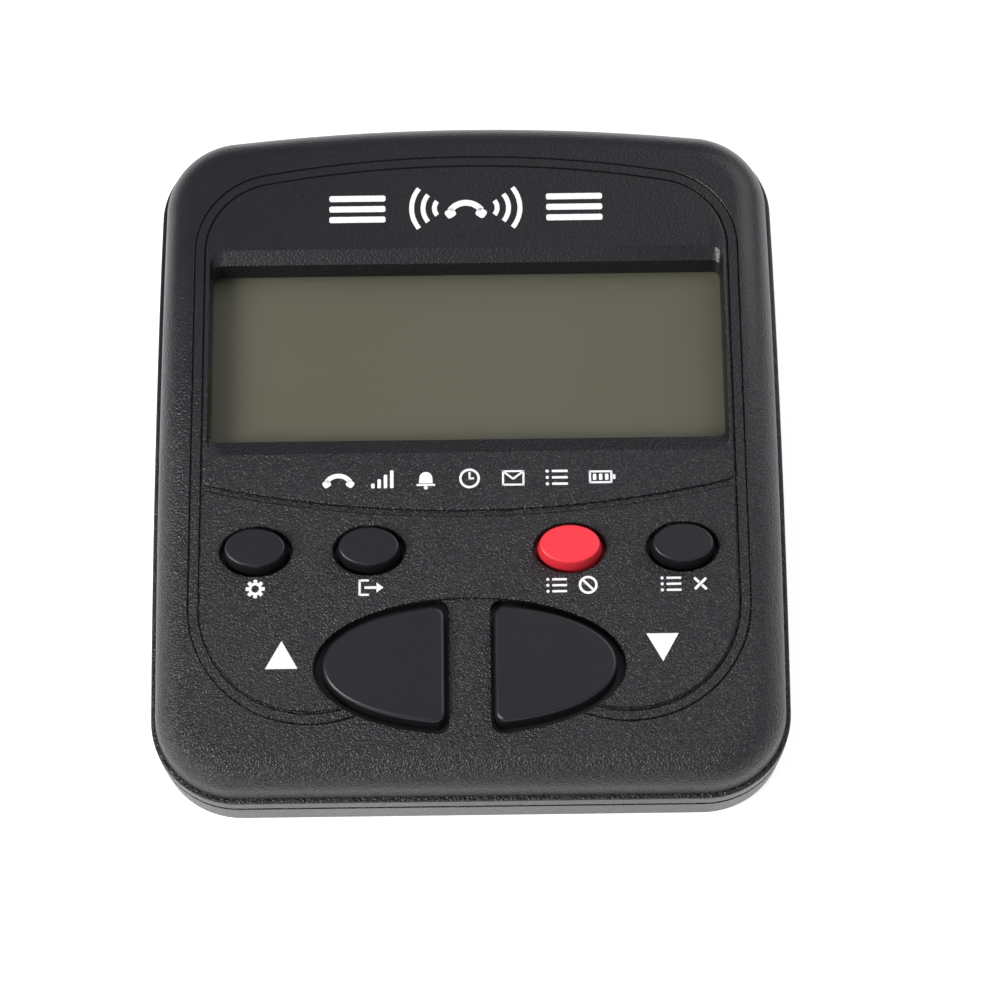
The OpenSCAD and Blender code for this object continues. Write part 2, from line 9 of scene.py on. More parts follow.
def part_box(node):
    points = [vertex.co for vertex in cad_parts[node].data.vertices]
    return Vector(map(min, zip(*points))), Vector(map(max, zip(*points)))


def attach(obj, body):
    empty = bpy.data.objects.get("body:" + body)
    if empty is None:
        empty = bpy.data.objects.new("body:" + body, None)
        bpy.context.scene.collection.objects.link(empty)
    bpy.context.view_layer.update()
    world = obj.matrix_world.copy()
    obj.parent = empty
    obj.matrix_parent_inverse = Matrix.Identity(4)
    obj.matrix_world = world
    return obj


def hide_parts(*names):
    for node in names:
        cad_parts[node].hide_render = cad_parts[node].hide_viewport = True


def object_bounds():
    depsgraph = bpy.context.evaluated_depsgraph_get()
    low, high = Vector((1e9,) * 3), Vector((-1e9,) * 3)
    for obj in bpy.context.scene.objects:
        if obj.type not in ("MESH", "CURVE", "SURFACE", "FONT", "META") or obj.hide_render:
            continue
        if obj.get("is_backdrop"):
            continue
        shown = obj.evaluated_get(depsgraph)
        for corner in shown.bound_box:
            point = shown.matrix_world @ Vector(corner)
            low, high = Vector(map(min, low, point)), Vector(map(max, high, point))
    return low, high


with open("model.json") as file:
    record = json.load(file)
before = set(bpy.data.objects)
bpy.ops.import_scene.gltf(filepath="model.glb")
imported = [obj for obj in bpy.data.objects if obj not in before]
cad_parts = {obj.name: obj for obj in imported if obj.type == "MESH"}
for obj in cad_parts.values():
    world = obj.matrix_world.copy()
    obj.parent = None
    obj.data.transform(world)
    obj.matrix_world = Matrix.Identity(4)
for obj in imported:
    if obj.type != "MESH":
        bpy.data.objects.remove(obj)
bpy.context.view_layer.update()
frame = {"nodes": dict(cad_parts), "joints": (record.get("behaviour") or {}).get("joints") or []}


# ---------------------------------------------------------------------------------------------
# Lower case: the wedge-shaped tray that stands on the table. One black ABS moulding with the
# battery bay, the screw posts and the socket openings in it; four screws hold it to the top.

mm = 0.001
foot_h = 1.0
case_w = 95.0
case_d = 107.5
front_r = 13.0
back_r = 12.5
back_sag = 1.9
side_bow = 0.4
wall = 2.0
base_draft = 0.3
base_r = 0.5
floor_top = 3.0
lower_top = -10.22

# The face leans back by the angle of the keys' travel, and its middle is found from the window.
key_way = next(j for j in frame["joints"] if j["name"] == "set_press")["axis"]
lean = atan2(-key_way[1], key_way[2])
tilt = Matrix.Rotation(lean, 4, "X")
window_y = 14.35
lens_top = -3.2
lens_t = 1.0
lens_low, lens_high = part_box("display_window")
face_middle = (lens_low + lens_high) / 2 / mm - tilt @ Vector((0, window_y, lens_top - lens_t / 2))
on_face = Matrix.Translation(face_middle) @ tilt
on_table = Matrix.Identity(4)


def arc(cx, cy, r, start, end, steps):
    """Points of an arc from the start to the end angle, in degrees."""
    angles = [radians(start + (end - start) * i / steps) for i in range(steps + 1)]
    return [(cx + r * cos(a), cy + r * sin(a)) for a in angles]


def mirrored(right):
    """A right half, from the bottom to the top, closed with its mirror image."""
    return right + [(-x, y) for x, y in reversed(right) if abs(x) > 0.01]


def side_x(y):
    return case_w / 2 - side_bow * (y / 45) ** 2


def back_y(x):
    return case_d / 2 - back_sag * (x / 35) ** 2


def case_outline(inset):
    """Outline of the case on its face, drawn in by inset: bowed sides and a sagging back edge."""
    fy = -case_d / 2 + front_r
    bx = side_x(case_d / 2 - back_r) - back_r
    slope = atan(2 * back_sag * bx / 35**2)
    by = back_y(bx + back_r * sin(slope)) - back_r * cos(slope)
    return mirrored(
        [(0, -case_d / 2 + inset), (17, -case_d / 2 + inset)]
        + arc(side_x(fy) - front_r, fy, front_r - inset, -90, 0, 18)
        + [(side_x(y) - inset, y) for y in range(-32, 36, 8)]
        + arc(bx, by, back_r - inset, 0, 90 - degrees(slope), 18)
        + [(x, back_y(x) - inset) for x in range(30, -1, -5)]
    )


def on_slope(points, z, place):
    return [place @ Vector((x, y, z)) for x, y in points]


def on_level(points, z):
    """The outline cut level at height z above the table."""
    middle = face_middle.y - sin(lean) / cos(lean) * (z - face_middle.z)
    return [Vector((x, middle + y / cos(lean), z)) for x, y in points]


def loft(*rings):
    """A closed skin drawn up from the first ring through the others, which match it point by point."""
    bm = bmesh.new()
    top = bm.faces.new([bm.verts.new(p) for p in rings[0]])
    for number, ring in enumerate(rings[1:]):
        drawn = bmesh.ops.extrude_face_region(bm, geom=[top])["geom"]
        if number:
            bmesh.ops.delete(bm, geom=[top], context="FACES_ONLY")
        top = next(g for g in drawn if isinstance(g, bmesh.types.BMFace))
        for vert, point in zip(top.verts, ring):
            vert.co = point
    bmesh.ops.recalc_face_normals(bm, faces=bm.faces)
    return bm


def rounded(bm, chosen, offset, segments):
    """Rounds the edges that chosen picks."""
    edges = [e for e in bm.edges if chosen(e)]
    bmesh.ops.bevel(
        bm, geom=edges, offset=offset, segments=segments, affect="EDGES", profile=0.5, material=-1,
    )
    return bm


def at_height(bm, z, place=on_table):
    """Picks the edges of a skin that lie all in the plane z of a frame."""
    back = place.inverted()
    level = {v for v in bm.verts if abs((back @ v.co).z - z) < 1e-3}
    return lambda e: e.verts[0] in level and e.verts[1] in level


def block(low, high, place=on_table):
    """A box between two corners."""
    bm = bmesh.new()
    size = Vector(high) - Vector(low)
    middle = (Vector(high) + Vector(low)) / 2
    bmesh.ops.create_cube(bm, size=1, matrix=place @ Matrix.Translation(middle) @ Matrix.Diagonal((*size, 1)))
    return bm


def post(x, y, r, low, high, place=on_table):
    """A round post or hole between two heights."""
    bm = bmesh.new()
    bmesh.ops.create_cone(
        bm, cap_ends=True, segments=40, radius1=r, radius2=r, depth=high - low,
        matrix=place @ Matrix.Translation((x, y, (low + high) / 2)),
    )
    return bm


def made(name, bm):
    """An object in millimetres from a finished skin."""
    mesh = bpy.data.meshes.new(name)
    bm.to_mesh(mesh)
    bm.free()
    piece = bpy.data.objects.new(name, mesh)
    bpy.context.scene.collection.objects.link(piece)
    return piece


def together(*skins):
    """One object from several skins that stand apart."""
    whole = bmesh.new()
    for bm in skins:
        part = bpy.data.meshes.new("part")
        bm.to_mesh(part)
        bm.free()
        whole.from_mesh(part)
        bpy.data.meshes.remove(part)
    return made("tool", whole)


def worked(piece, how, tool):
    """The piece after a tool is joined to it (UNION) or cut out of it (DIFFERENCE)."""
    change = piece.modifiers.new(how, "BOOLEAN")
    change.operation = how
    change.solver = "EXACT"
    change.object = tool
    seen = bpy.context.evaluated_depsgraph_get()
    old = piece.data
    piece.data = bpy.data.meshes.new_from_object(piece.evaluated_get(seen))
    piece.modifiers.clear()
    bpy.data.meshes.remove(old)
    bpy.data.objects.remove(tool)
    return piece


def finished(piece, material, body, slot, *nodes):
    """Brings a piece to its real size, and gives it its finish, its body and the nodes it stands for."""
    piece.data.transform(Matrix.Scale(mm, 4))
    piece.data.materials.clear()
    piece.data.materials.append(material)
    piece.data.shade_smooth()
    piece.data.set_sharp_from_angle(angle=radians(32))
    shading = piece.modifiers.new("shading", "WEIGHTED_NORMAL")
    shading.keep_sharp = True
    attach(piece, body)
    if nodes:
        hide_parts(*nodes)
    return piece


def nodes_of(material):
    """The node tree of a new material, its shader, and a way to add and join nodes."""
    material.use_nodes = True
    tree = material.node_tree
    shader = tree.nodes["Principled BSDF"]

    def add(kind, **values):
        node = tree.nodes.new(kind)
        for key, value in values.items():
            if key in node.inputs:
                node.inputs[key].default_value = value
            else:
                setattr(node, key, value)
        return node

    return tree, shader, add


def mixed_range(tree, add, source, low, high, from_low=0.3, from_high=0.7):
    """A number between low and high that follows a pattern."""
    span = add("ShaderNodeMapRange")
    for name, value in {"From Min": from_low, "From Max": from_high, "To Min": low, "To Max": high}.items():
        span.inputs[name].default_value = value
    tree.links.new(source, span.inputs["Value"])
    return span.outputs["Result"]


def shades(tree, add, source, dark, light):
    """A colour between dark and light that follows a pattern."""
    mix = add("ShaderNodeMix", data_type="RGBA")
    first, second = (socket for socket in mix.inputs if socket.type == "RGBA")
    first.default_value = (*dark, 1)
    second.default_value = (*light, 1)
    tree.links.new(source, mix.inputs["Factor"])
    return next(o for o in mix.outputs if o.type == "RGBA")


def moulded(name, dark, light, rough, grain, depth, patch=45.0, back=1.0):
    """Moulded plastic: spark-eroded grain of a size in metres, weaker at the back, over patches of sheen."""
    material = bpy.data.materials.new(name)
    tree, shader, add = nodes_of(material)
    place = add("ShaderNodeTexCoord").outputs["Object"]
    slow = add("ShaderNodeTexNoise", Scale=patch, Detail=3.0)
    fine = add("ShaderNodeTexNoise", Scale=0.55 / grain, Detail=1.5, Roughness=0.5)
    specks = add("ShaderNodeTexVoronoi", Scale=0.8 / grain, Randomness=1.0)
    for node in (slow, fine, specks):
        tree.links.new(place, node.inputs["Vector"])
    relief = add("ShaderNodeMath", operation="MULTIPLY_ADD")
    relief.inputs[1].default_value = 0.6
    tree.links.new(specks.outputs["Distance"], relief.inputs[0])
    tree.links.new(fine.outputs["Fac"], relief.inputs[2])
    bump = add("ShaderNodeBump", Strength=1.0, Distance=depth)
    tree.links.new(relief.outputs[0], bump.inputs["Height"])
    tree.links.new(bump.outputs["Normal"], shader.inputs["Normal"])
    split = add("ShaderNodeSeparateXYZ")
    tree.links.new(place, split.inputs[0])
    strength = mixed_range(tree, add, split.outputs["Y"], 1.0, back, -0.02, 0.03)
    tree.links.new(strength, bump.inputs["Strength"])
    colour = shades(tree, add, mixed_range(tree, add, fine.outputs["Fac"], 0, 1), dark, light)
    tree.links.new(colour, shader.inputs["Base Color"])
    roughness = mixed_range(tree, add, slow.outputs["Fac"], rough - 0.03, rough + 0.03)
    tree.links.new(roughness, shader.inputs["Roughness"])
    return material


case_plastic = moulded("case_plastic", (0.0055, 0.0052, 0.0064), (0.0085, 0.0081, 0.0096),
                       0.36, 0.00022, 0.0002, back=0.25)

post_x = 38.5
post_y = 44.5
posts = [(x, y) for x in (-post_x, post_x) for y in (-post_y, post_y)]
bay_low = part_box("battery_door")[0] / mm + Vector((1.2, 1.2, 0))
bay_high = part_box("battery_door")[1] / mm - Vector((1.2, 1.2, 0))
bay_top = 14.25
bay_wall = 1.2
door_gap = 0.1

room = made("room", loft(
    on_level(case_outline(base_draft + wall + 0.2), floor_top),
    on_slope(case_outline(wall + 0.2), lower_top + 2, on_face),
))
worked(room, "DIFFERENCE", together(
    *[post(x, y, 4, -40, -12.2, on_face) for x, y in posts],
    *[block((x - 2, 38.5, 0), (x + 2, 42.5, 3.6)) for x in (-31, 0, 31)],
    block((bay_low.x, bay_low.y, 0), (bay_high.x, bay_high.y, bay_top)),
))

tray = loft(
    on_level(case_outline(base_draft), foot_h),
    on_slope(case_outline(0), lower_top, on_face),
)
rounded(tray, at_height(tray, foot_h), base_r, 4)
rounded(tray, at_height(tray, lower_top, on_face), 0.05, 1)
lower_case = worked(made("lower_case_shell", tray), "DIFFERENCE", room)

sockets = [(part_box(name)[0] / mm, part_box(name)[1] / mm) for name in ("line_jack", "phone_jack")]
socket_gap = 0.2
feet = [(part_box(f"rubber_foot_{n}")[0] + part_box(f"rubber_foot_{n}")[1]) / 2 / mm for n in range(1, 5)]
keyholes = [(-25, -24), (25, -24)]


def keyhole(x, y):
    """Outline of a round entry with a narrower slot that ends in a half circle."""
    turn = degrees(asin(1.9 / 3.6))
    return arc(x, y, 3.6, 90 + turn, 450 - turn, 28) + arc(x, y + 7, 1.9, 0, 180, 12)


worked(lower_case, "DIFFERENCE", together(
    block((bay_low.x + bay_wall, bay_low.y + bay_wall, 2),
          (bay_high.x - bay_wall, bay_high.y - bay_wall, bay_top - 1)),
    *[block((low.x - socket_gap, low.y, low.z - socket_gap), (high.x + socket_gap, 80, high.z + socket_gap))
      for low, high in sockets],
    *[post(x, y, 1.6, -17, -5, on_face) for x, y in posts],
))
worked(lower_case, "DIFFERENCE", together(
    block((bay_low.x - 1.5, bay_low.y - 1.5, 0), (bay_high.x + 1.5, bay_high.y + 1.5, bay_high.z + door_gap)),
    *[post(x, y, 3, -40, -15.5, on_face) for x, y in posts],
    *[post(p.x, p.y, 5.1, 0, foot_h + 0.5) for p in feet],
    *[loft(on_slope(keyhole(x, y), 0, on_table), on_slope(keyhole(x, y), 4, on_table)) for x, y in keyholes],
))
finished(lower_case, case_plastic, "root", "black_abs", "lower_case")


# ---------------------------------------------------------------------------------------------
# Feet: four plugs of dark rubber, glued into round seats in the base.

foot_rubber = moulded("foot_rubber", (0.012, 0.012, 0.012), (0.02, 0.02, 0.02), 0.75, 0.0005, 0.00004)
foot_r = 5.0
for number, middle in enumerate(feet, 1):
    plug = post(middle.x, middle.y, foot_r, 0, foot_h + 0.45)
    rounded(plug, at_height(plug, 0), 0.4, 3)
    finished(made(f"foot_{number}", plug), foot_rubber, "root", "foot_rubber", f"rubber_foot_{number}")


# ---------------------------------------------------------------------------------------------
# Battery door: a flat ABS plate with a thumb notch, held by a snap latch over the three cells.

door_low, door_high = (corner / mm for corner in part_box("battery_door"))
door = block(door_low, door_high)
rounded(door, lambda e: abs(e.verts[0].co.z - e.verts[1].co.z) > 1, 1.2, 5)
rounded(door, at_height(door, door_low.z), 0.25, 3)
notch_y = door_high.y - 4.2
notch = post(0, notch_y, 4.2, door_low.z - 0.5, door_low.z + 0.5)
rounded(notch, at_height(notch, door_low.z + 0.5), 0.2, 3)
grips = [block((-6, notch_y - 8 - 2 * i, door_low.z - 1), (6, notch_y - 7.2 - 2 * i, door_low.z + 0.35))
         for i in range(4)]
door = worked(made("battery_door_plate", door), "DIFFERENCE", together(notch, *grips))
finished(door, case_plastic, "battery_door", "black_abs", "battery_door")


# ---------------------------------------------------------------------------------------------
# Display: a two-plate reflective cell in a black frame, seen through a clear acrylic window that
# is glued under the face.

def plain_slot(node, material):
    """Gives a carried-over piece its finish."""
    carried = frame["nodes"][node]
    carried.data.materials.clear()
    carried.data.materials.append(material)
    carried.data.shade_smooth()
    carried.data.set_sharp_from_angle(angle=radians(32))


def display_glass():
    """Olive-grey polariser over glass, a little browner in slow patches."""
    material = bpy.data.materials.new("display_glass")
    tree, shader, add = nodes_of(material)
    place = add("ShaderNodeTexCoord").outputs["Object"]
    slow = add("ShaderNodeTexNoise", Scale=38.0, Detail=1.5)
    fine = add("ShaderNodeTexNoise", Scale=2600.0, Detail=2.0)
    tree.links.new(place, slow.inputs["Vector"])
    tree.links.new(place, fine.inputs["Vector"])
    patches = mixed_range(tree, add, slow.outputs["Fac"], 0, 1)
    colour = shades(tree, add, patches, (0.124, 0.121, 0.076), (0.129, 0.13, 0.085))
    tree.links.new(colour, shader.inputs["Base Color"])
    tree.links.new(mixed_range(tree, add, fine.outputs["Fac"], 0.36, 0.44), shader.inputs["Roughness"])
    bump = add("ShaderNodeBump", Strength=0.5, Distance=0.000004)
    tree.links.new(fine.outputs["Fac"], bump.inputs["Height"])
    tree.links.new(bump.outputs["Normal"], shader.inputs["Normal"])
    return material


def clear_acrylic():
    """Clear cast sheet with a hard gloss and faint wipe marks."""
    material = bpy.data.materials.new("clear_acrylic")
    tree, shader, add = nodes_of(material)
    place = add("ShaderNodeTexCoord").outputs["Object"]
    wipes = add("ShaderNodeTexNoise", Scale=240.0, Detail=3.0)
    tree.links.new(place, wipes.inputs["Vector"])
    tree.links.new(mixed_range(tree, add, wipes.outputs["Fac"], 0.03, 0.08), shader.inputs["Roughness"])
    shader.inputs["Base Color"].default_value = (0.08, 0.08, 0.075, 1)
    shader.inputs["Alpha"].default_value = 0.08
    return material


plain_slot("lcd_glass", display_glass())
plain_slot("lcd_frame", case_plastic)

pane_r = 1.5
pane_half = (78.5 / 2, 33.5 / 2)


def rounded_box(half_w, half_h, r, cx=0, cy=0, steps=6):
    """Outline of a rectangle with round corners."""
    w, h = half_w - r, half_h - r
    corners = [(w, -h, -90), (w, h, 0), (-w, h, 90), (-w, -h, 180)]
    return [p for x, y, turn in corners for p in arc(cx + x, cy + y, r, turn, turn + 90, steps)]


pane_outline = rounded_box(*pane_half, pane_r, 0, window_y)
pane = loft(on_slope(pane_outline, lens_top - lens_t, on_face), on_slope(pane_outline, lens_top, on_face))
rounded(pane, at_height(pane, lens_top, on_face), 0.12, 2)
finished(made("display_pane", pane), clear_acrylic(), "root", "clear_acrylic", "display_window")


# ---------------------------------------------------------------------------------------------
# Keys: four small oval caps, one of them red, and two scroll keys shaped like half an oval. Each is
# an ABS cap with a sprung flange under the face and a plunger that stands on its rubber dome.

panel_h = 0.5
small_y = -17.3
small_half = (9.7 / 2, 6.7 / 2)
key_gap = 0.45
cap_draft = 0.45
oval_a = 22.8
oval_b = 10.35
oval_y = -35.2
bar_half = 3.0
scroll_x = 12.2
flange_top = -2.2
flange_t = 1.0
dome_top = -5.7

key_plastic = moulded("key_plastic", (0.0085, 0.0081, 0.0098), (0.0105, 0.01, 0.012), 0.36, 0.0003, 0.000012)
red_plastic = moulded("red_plastic", (0.86, 0.034, 0.05), (0.92, 0.038, 0.058), 0.38, 0.0003, 0.00001)


def oval(cx, cy, a, b, steps=56):
    """Outline of an ellipse."""
    return [(cx + a * cos(2 * pi * i / steps), cy + b * sin(2 * pi * i / steps)) for i in range(steps)]


def cap(outlines, top, edge):
    """A key's cap through its outlines, from the flange up to its rounded rim."""
    heights = [flange_top - 0.01, 0.0, top]
    bm = loft(*[on_slope(points, z, on_face) for points, z in zip(outlines, heights)])
    return rounded(bm, at_height(bm, top, on_face), edge, 5)


def key(name, bm, flange, middle, material, slot):
    """A key from its cap, its flange and its plunger."""
    low = flange_top - flange_t
    skirt = loft(on_slope(flange, low, on_face), on_slope(flange, flange_top, on_face))
    plunger = post(*middle, 2, dome_top + 0.1, low + 0.1, on_face)
    whole = worked(made(f"{name}_cap", bm), "UNION", together(skirt))
    worked(whole, "UNION", together(plunger))
    return finished(whole, material, f"{name}_key", slot, f"{name}_key")


small_top = 2.5
small_keys = {"set": -31.45, "out": -14.7, "block": 14.9, "remove": 31.55}
for name, x in small_keys.items():
    a, b = small_half
    rims = [oval(x, small_y, a - inset, b - inset) for inset in (0, 0.1, cap_draft)]
    skirt = oval(x, small_y, a + 1.2, b + 1.2)
    red = name == "block"
    key(name, cap(rims, small_top, 0.3), skirt, (x, small_y),
        red_plastic if red else key_plastic, "red_key_plastic" if red else "key_plastic")


def half_oval(side, at_bar, at_curve, corner_r, steps=30):
    """Outline of half the oval beside the bar, with round corners, drawn in at the bar and at the curve."""
    a, b = oval_a - at_curve, oval_b - at_curve
    flat = bar_half + at_bar
    r = corner_r
    # the corner's arc touches the flat side and the ellipse
    cx = flat + r
    cy = (b - r) * sqrt(1 - (cx / (a - r)) ** 2)
    turn = degrees(atan2(cy / (b - r) ** 2, cx / (a - r) ** 2))
    start = atan2(cy / (b - r), cx / (a - r))
    curve = [(start - 2 * start * i / steps) for i in range(steps + 1)]
    body = []
    for t in curve:
        nx, ny = cos(t) / (a - r), sin(t) / (b - r)
        length = sqrt(nx * nx + ny * ny)
        body.append(((a - r) * cos(t) + r * nx / length, (b - r) * sin(t) + r * ny / length))
    upper = arc(cx, cy, r, 180, turn, 6)[:-1]
    lower = arc(cx, -cy, r, -turn, -180, 6)[1:]
    points = upper + body + lower
    return [(side * x, oval_y + y) for x, y in (points if side < 0 else reversed(points))]


scroll_top = 1.7
for name, side in (("up", -1), ("down", 1)):
    rims = [half_oval(side, key_gap + extra, 1.15 + extra, 1.5) for extra in (0, 0.05, 0.25)]
    skirt = half_oval(side, -0.6, -0.6, 1.5)
    skirt = [(side * max(abs(x), 0.4), y) for x, y in skirt]
    key(name, cap(rims, scroll_top, 0.5), skirt, (side * scroll_x, oval_y), key_plastic, "key_plastic")


# ---------------------------------------------------------------------------------------------
# Upper case: one black ABS moulding. Its face carries two low panels with rounded edges, a fine
# line round them, the sloped well of the display and the key openings; posts and a seat are inside.

rim_bottom = -9.38
rim_top = -6.6
ledge_w = 0.7
crown_r = 5.1
arc_start = 21
lean_steps = ((0, 0), (0.594, 0.052), (0.844, 0.096))
crown_in = wall + 1.1
panel_x = 41.4
panel_top = 46.45
panel_top_r = 173.0
panel_corner_r = 12.8
panel_low_r = 18.1
panel_low_y = -25.5
panel_strip = 1.8
parting_r = 176.2
parting_y = -11.7
parting_w = 0.85
edge_r = 0.28
cut_play = 0.03

# the walls lean in more and more up to the arc of the face's edge
lean_h = -rim_top - crown_r * (1 - sin(radians(arc_start)))
crown_rings = [(0, rim_bottom), (0, rim_top)]
crown_rings += [(ledge_w + lean_h * across, rim_top + lean_h * up) for up, across in lean_steps]
for turn in range(13):
    a = radians(arc_start + (90 - arc_start) * turn / 12)
    arc_in = crown_r * (cos(radians(arc_start)) - cos(a))
    crown_rings.append((ledge_w + lean_h * 0.144 + arc_in, crown_r * (sin(a) - 1)))
crown = loft(*[on_slope(case_outline(inset), z, on_face) for inset, z in crown_rings])
outer = {v for v in crown.verts if abs((on_face.inverted() @ v.co).z - rim_top) < 1e-3}


def on_rim_edge(e):
    """Picks the outer edge of the ledge."""
    if not (e.verts[0] in outer and e.verts[1] in outer):
        return False
    to_face = on_face.inverted()
    return all(any(abs((to_face @ w.co).z - rim_bottom) < 1e-3 for n in v.link_edges for w in n.verts)
               for v in e.verts)


rounded(crown, on_rim_edge, 0.3, 3)
rounded(crown, at_height(crown, rim_bottom, on_face), 0.05, 1)
upper_case = made("upper_case_shell", crown)

hollow = loft(*[
    on_slope(case_outline(crown_in + inset), z, on_face)
    for inset, z in ((0, rim_bottom - 1), (0, -4), (0.6, -wall - 0.6), (2, -wall))
])
worked(upper_case, "DIFFERENCE", made("hollow", hollow))


def panel_line(inset):
    """Right half of the line round the panels, from the scroll keys round to the middle of the top."""
    tx = panel_x - panel_corner_r
    slope = degrees(asin(tx / panel_top_r))

    def top_y(x):
        return panel_top - x * x / (2 * panel_top_r)

    ty = top_y(tx + panel_corner_r * sin(radians(slope))) - panel_corner_r * cos(radians(slope))
    lx = panel_x - panel_low_r
    return (
        arc(lx, panel_low_y, panel_low_r - inset, -128, 0, 26)
        + [(panel_x - inset, y) for y in range(-20, 26, 5)]
        + arc(tx, ty, panel_corner_r - inset, 0, 90 - slope, 18)
        + [(x, top_y(x) - inset) for x in range(26, -1, -2)]
    )


def parting(x, shift):
    """Height up the face of the arc that parts the two panels."""
    return parting_y + parting_r - sqrt((parting_r + shift) ** 2 - x * x)


inner_x = panel_x - panel_strip
display_right = [(x, parting(x, -parting_w / 2)) for x in range(0, 39, 3)]
display_corner = (inner_x, parting(inner_x, -parting_w / 2))
display_right += [(inner_x - 0.9, display_corner[1] - 0.16), (inner_x - 0.3, display_corner[1] + 0.12)]
display_right += [(inner_x - 0.05, display_corner[1] + 0.5)]
display_right += [p for p in panel_line(panel_strip) if p[1] > -6]
display_panel = mirrored(display_right)

key_right = [p for p in panel_line(panel_strip) if p[1] < -9]
key_right = [(x, y) for x, y in key_right
             if x > 17 and (x / oval_a) ** 2 + ((y - oval_y) / oval_b) ** 2 > 1.0]
key_right += [(inner_x - 0.05, parting(inner_x, parting_w / 2) - 0.6)]
key_right += [(inner_x - 0.25, parting(inner_x, parting_w / 2) - 0.25)]
key_right += [(inner_x - 0.7, parting(inner_x, parting_w / 2) - 0.06)]
key_right += [(x, parting(x, parting_w / 2)) for x in range(36, -1, -3)]
start = atan2((key_right[0][1] - oval_y) / oval_b, key_right[0][0] / oval_a)
oval_edge = [pi / 2 + (start - pi / 2) * i / 30 for i in range(31)]
key_panel = mirrored([(oval_a * cos(t), oval_y + oval_b * sin(t)) for t in oval_edge] + key_right)


def raised_panel(outline, holes):
    """A low panel with openings, its upper edges rounded, standing a little way into the face."""
    bm = bmesh.new()
    for loop in [outline, *holes]:
        verts = [bm.verts.new((x, y, -0.4)) for x, y in loop]
        for first, second in zip(verts, verts[1:] + verts[:1]):
            bm.edges.new((first, second))
    bmesh.ops.triangle_fill(bm, use_beauty=True, edges=bm.edges)
    drawn = bmesh.ops.extrude_face_region(bm, geom=bm.faces[:], use_keep_orig=True)["geom"]
    lifted = [g for g in drawn if isinstance(g, bmesh.types.BMVert)]
    bmesh.ops.translate(bm, verts=lifted, vec=(0, 0, panel_h + 0.4))
    bmesh.ops.recalc_face_normals(bm, faces=bm.faces)

    def at_top(e):
        flat_top = sum(1 for f in e.link_faces if abs(f.normal.z) > 0.9)
        return flat_top == 1 and all(v.co.z > panel_h - 0.01 for v in e.verts)

    rounded(bm, at_top, edge_r, 4)
    bm.transform(on_face)
    return bm


def well_ring(side, front, back, r):
    """Outline of the display well at one height: how far its sides reach, and its front and back edges."""
    return rounded_box(side, (back - front) / 2, r, 0, (front + back) / 2)


def small_holes(play):
    """Outlines of the openings round the small keys."""
    a, b = (half + key_gap - play for half in small_half)
    return [oval(x, small_y, a, b) for x in small_keys.values()]


panel_hole = well_ring(38.6, -0.4, 29.4, 1.2)
worked(upper_case, "UNION", made("panel", raised_panel(display_panel, [panel_hole])))
worked(upper_case, "UNION", made("panel", raised_panel(key_panel, small_holes(0))))

tongue_out = case_outline(wall + 0.4)
tongue = loft(on_slope(tongue_out, rim_bottom - 1.5, on_face), on_slope(tongue_out, rim_bottom + 1, on_face))
tongue_in = case_outline(wall + 1.3)
inside = loft(on_slope(tongue_in, rim_bottom - 4, on_face), on_slope(tongue_in, rim_bottom + 4, on_face))
tongue = worked(made("tongue", tongue), "DIFFERENCE", made("inside", inside))
worked(upper_case, "UNION", tongue)
worked(upper_case, "UNION", together(
    block((-43, window_y - 17.5, lens_top), (43, window_y + 17.5, -wall + 0.05), on_face),
    *[post(x, y, 3.2, -12, -wall + 0.05, on_face) for x, y in posts],
    *[post(x, y, 2.2, -9, -wall + 0.05, on_face) for x in (-23, 23) for y in (-9.6, -48.8)],
))
worked(upper_case, "UNION", together(
    *[post(x, y, 1.9, -4.48, -wall, on_face) for x in (-41.85, 41.85) for y in (-0.4, 29.1)],
))

well = loft(*[
    on_slope(well_ring(side, front, back, r), z, on_face) for side, front, back, r, z in (
        (38.72, 0.6, 27.95, 1.0, -6), (38.75, 0.5, 28.0, 1.1, -3.3), (38.85, 0.22, 28.87, 1.5, -0.5),
        (39.05, -2.13, 30.96, 2.2, panel_h), (39.09, -2.6, 31.38, 2.3, panel_h + 0.2),
    )
])
scroll_holes = [half_oval(side, cut_play, cut_play, 1.6) for side in (-1, 1)]
worked(upper_case, "DIFFERENCE", together(
    *[loft(on_slope(hole, -3, on_face), on_slope(hole, 1, on_face))
      for hole in small_holes(cut_play) + scroll_holes],
))
worked(upper_case, "DIFFERENCE", together(
    well,
    *[post(x, y, 1.1, -13, -5, on_face) for x, y in posts],
    *[post(x, y, 0.7, -10, -5, on_face) for x in (-23, 23) for y in (-9.6, -48.8)],
    *[block((low.x - 0.4, low.y, low.z - 1), (high.x + 0.4, high.y - 1.7, high.z + 0.5))
      for low, high in sockets],
))


